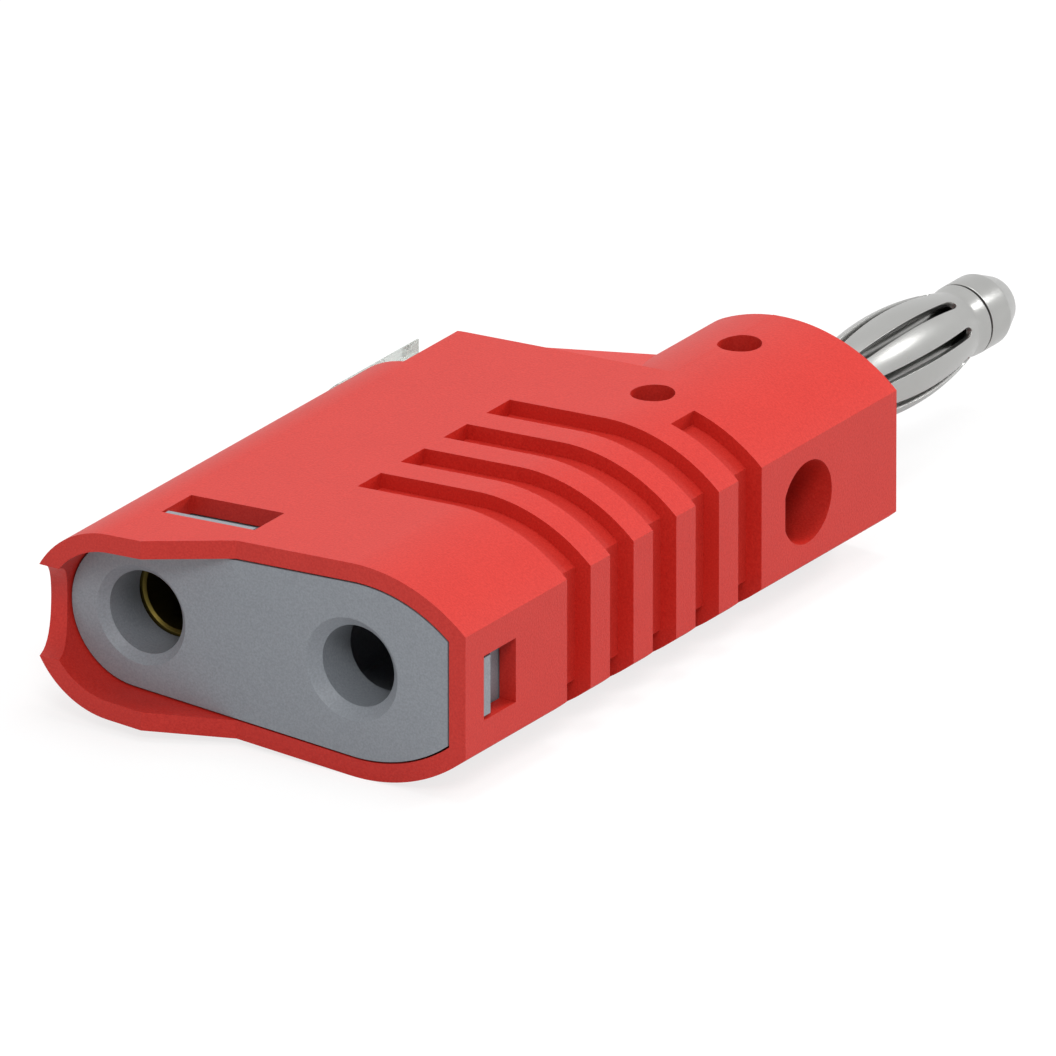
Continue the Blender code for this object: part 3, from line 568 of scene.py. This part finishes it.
def rounded(corners, steps=5):
    """A profile whose corners (r, y, radius) are replaced by arcs that touch both sides of the corner."""
    path = []
    for k, (r, y, radius) in enumerate(corners):
        here = np.array([r, y])
        if radius == 0:
            path.append(here)
            continue
        before = np.array(corners[k - 1][:2]) - here
        after = np.array(corners[(k + 1) % len(corners)][:2]) - here
        before = before / np.linalg.norm(before)
        after = after / np.linalg.norm(after)
        half = math.acos(float(np.clip(before @ after, -1, 1))) / 2
        middle = (before + after) / np.linalg.norm(before + after)
        centre = here + middle * radius / math.sin(half)
        first = here + before * radius / math.tan(half) - centre
        last = here + after * radius / math.tan(half) - centre
        share = np.linspace(0, 1, steps + 1)[:, None]
        blend = first * (1 - share) + last * share
        blend = blend / np.linalg.norm(blend, axis=1)[:, None] * radius
        path.extend(centre + blend)
    return np.array(path) * MM


def turned_points(profile, steps, place_x=0.0):
    """Points of a profile carried round an axis along Y: (r cos a, y, r sin a)."""
    angle = np.linspace(0, 2 * math.pi, steps, endpoint=False)
    radius = profile[:, 0, None]
    return AXIS + np.stack(
        [
            radius * np.cos(angle) + place_x * MM,
            np.broadcast_to(profile[:, 1, None], (len(profile), steps)),
            radius * np.sin(angle),
        ],
        -1,
    )


def metal_piece(name, mesh, node, material):
    """An object for a metal surface that stands for a solid, with normals that favour the larger faces."""
    mesh.materials.append(material)
    piece = bpy.data.objects.new(name, mesh)
    bpy.context.scene.collection.objects.link(piece)
    weigh = piece.modifiers.new("Even shading", "WEIGHTED_NORMAL")
    weigh.keep_sharp = True
    weigh.weight = 60
    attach(piece, "root")
    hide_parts(node)
    print(name, len(mesh.polygons), "faces")


# %% [markdown]
# The pin is turned from one bar. Its head is 4.0 mm across with a chamfer to a flat tip, and it stops the basket
# from sliding off. The core behind the head is thinner and hides in the basket.

# %% Pin
pin_corners = [
    (0.0, 20.02, 0),
    (1.40, 20.02, 0.22),
    (2.0, 18.62, 0.5),
    (2.0, 16.95, 0.04),
    (1.3, 16.95, 0.05),
    (1.3, -5.6, 0.1),
    (0.9, -6.0, 0.1),
    (0.0, -6.0, 0),
]
PIN_STEPS = 128
pin_mesh = grid_mesh("turned_pin", turned_points(rounded(pin_corners), PIN_STEPS), closed_across=True)
metal_piece("turned_pin", pin_mesh, "plug_pin", bright_nickel)

# %% [markdown]
# The basket is one sheet of springy brass, slotted, rolled to a tube and bulged in the middle. The surface is a
# tube whose radius is an arch between two necks, flared to the full pin size at both ends. Between two slots
# runs one lamella: a grid whose sides follow the slots' edges, so the columns spread where there is no slot and
# close up beside one. A slot is 0.55 mm wide and ends in half an ellipse.

# %% The basket's formulas
SLOT_COUNT = 8
SLOT_TURN = math.radians(17.0)
SLOT_HALF = 0.275
SLOT_REACH = 4.6
SLOT_END = 0.6
MIDDLE_Y = 10.2
FRONT_Y = 16.78
REAR_Y = -2.7
NECK = 1.9
BULGE = 2.66
ARCH_HALF = 5.6
FLARE = 1.1
HEAD = 2.0
SHEET = 0.35
SLOT_ROWS = 36
SLOT_END_ROWS = 10
COLUMNS = 15


def basket_radius(y):
    """Outer radius of the basket in mm: an arch (1 - t * t) between the necks, then a smooth step to the head."""
    off = np.abs(y - MIDDLE_Y)
    arch = NECK + (BULGE - NECK) * (1 - (off / ARCH_HALF) ** 2)
    rise = np.clip((off - ARCH_HALF) / FLARE, 0, 1)
    flare = NECK + (HEAD - NECK) * rise * rise * (3 - 2 * rise)
    return np.where(off < ARCH_HALF, arch, flare)


def slot_half_width(y):
    """Half the width of a slot at height y: straight, with an end like half an ellipse, and nothing beyond it."""
    past = np.clip((np.abs(y - MIDDLE_Y) - (SLOT_REACH - SLOT_END)) / SLOT_END, 0, 1)
    return SLOT_HALF * np.sqrt(1 - past**2)


# %% [markdown]
# The rows of the grid lie close together where a slot ends, because its edge turns fast there. All eight lamellae
# are worked out as one array: row, lamella, column. Each becomes a mesh, and the eight are joined where they meet.

# %% The basket's lamellae
turn = np.linspace(0, math.pi / 2, SLOT_END_ROWS)
slot_side = np.linspace(0, SLOT_REACH - SLOT_END, SLOT_ROWS)[:-1]
slot_end = SLOT_REACH - SLOT_END + SLOT_END * np.sin(turn)
neck_side = np.linspace(4.8, ARCH_HALF, 5)
flare_side = np.linspace(5.75, 6.6, 7)
side = np.concatenate([slot_side, slot_end, neck_side, flare_side])
front_half = MIDDLE_Y + side[:-1]
rear_half = MIDDLE_Y - side
heights = np.unique(np.concatenate([[FRONT_Y], front_half, rear_half, [REAR_Y]]))[::-1]
y = heights[:, None, None]
slot = np.arange(SLOT_COUNT)[None, :, None]
share = np.linspace(0, 1, COLUMNS)[None, None, :]
half = np.arcsin(slot_half_width(y) / basket_radius(y))
sector = 2 * math.pi / SLOT_COUNT
angle = SLOT_TURN + sector * slot + half + share * (sector - 2 * half)
radius = basket_radius(y) + 0 * angle
points = np.stack([radius * np.cos(angle), y + 0 * angle, radius * np.sin(angle)], -1)
parts = []
for k in range(SLOT_COUNT):
    parts.append(grid_mesh(f"lamella_{k + 1}", AXIS + points[:, k] * MM))
work = bmesh.new()
for part in parts:
    work.from_mesh(part)
    bpy.data.meshes.remove(part)
bmesh.ops.remove_doubles(work, verts=work.verts, dist=1e-7)
basket_mesh = bpy.data.meshes.new("spring_basket")
work.to_mesh(basket_mesh)
work.free()
basket_mesh.shade_smooth()
print(SLOT_COUNT, "lamellae,", len(heights), "rows each")

# %% [markdown]
# So far the basket is a skin without thickness. Solidify gives the sheet its 0.35 mm, inwards from the measured
# outside, and a fine bevel rounds the stamped edges so that they catch a thin line of light.

# %% The basket's sheet
basket = bpy.data.objects.new("spring_basket", basket_mesh)
basket_mesh.materials.append(bright_nickel)
bpy.context.scene.collection.objects.link(basket)
sheet = basket.modifiers.new("Sheet", "SOLIDIFY")
sheet.thickness = SHEET * MM
sheet.offset = -1.0
edge = basket.modifiers.new("Stamped edges", "BEVEL")
edge.width = 0.03 * MM
edge.segments = 2
edge.limit_method = "ANGLE"
edge.angle_limit = math.radians(50)
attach(basket, "root")
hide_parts("lamella_sleeve")
print("spring_basket", len(basket_mesh.polygons), "faces before its thickness")

# %% [markdown]
# The socket is a turned brass tube behind the left funnel. Only its front ring and the first part of its bore
# show. They are left bare, so the brass has gone dull gold, and a small chamfer in the ring leads a pin in.

# %% Socket
socket_corners = [
    (0.0, -17.0, 0),
    (1.0, -17.0, 0.1),
    (1.0, -18.55, 0),
    (2.6, -18.55, 0.1),
    (2.6, -37.0, 0.08),
    (2.18, -37.0, 0.03),
    (2.04, -36.85, 0.04),
    (2.04, -24.02, 0.2),
    (0.0, -23.0, 0),
]
SOCKET_STEPS = 96
socket_points = turned_points(rounded(socket_corners), SOCKET_STEPS, SOCKET_X)
socket_mesh = grid_mesh("turned_socket", socket_points, closed_across=True)
metal_piece("turned_socket", socket_mesh, "socket_sleeve", socket_brass)

# %% [markdown]
# ## Inside
# The contact block, the flat bar and the clamp spring are solids that only show as glints deep in the holes.
# Their shapes are right as they are, so they only get their finishes.

# %% Finishes for the inner pieces
for node, material in (
    ("contact_block", block_nickel),
    ("current_bar", bar_copper),
    ("cage_clamp", clamp_steel),
):
    mesh = nodes[node].data
    mesh.materials.clear()
    mesh.materials.append(material)
    print(node, "is", material.name)
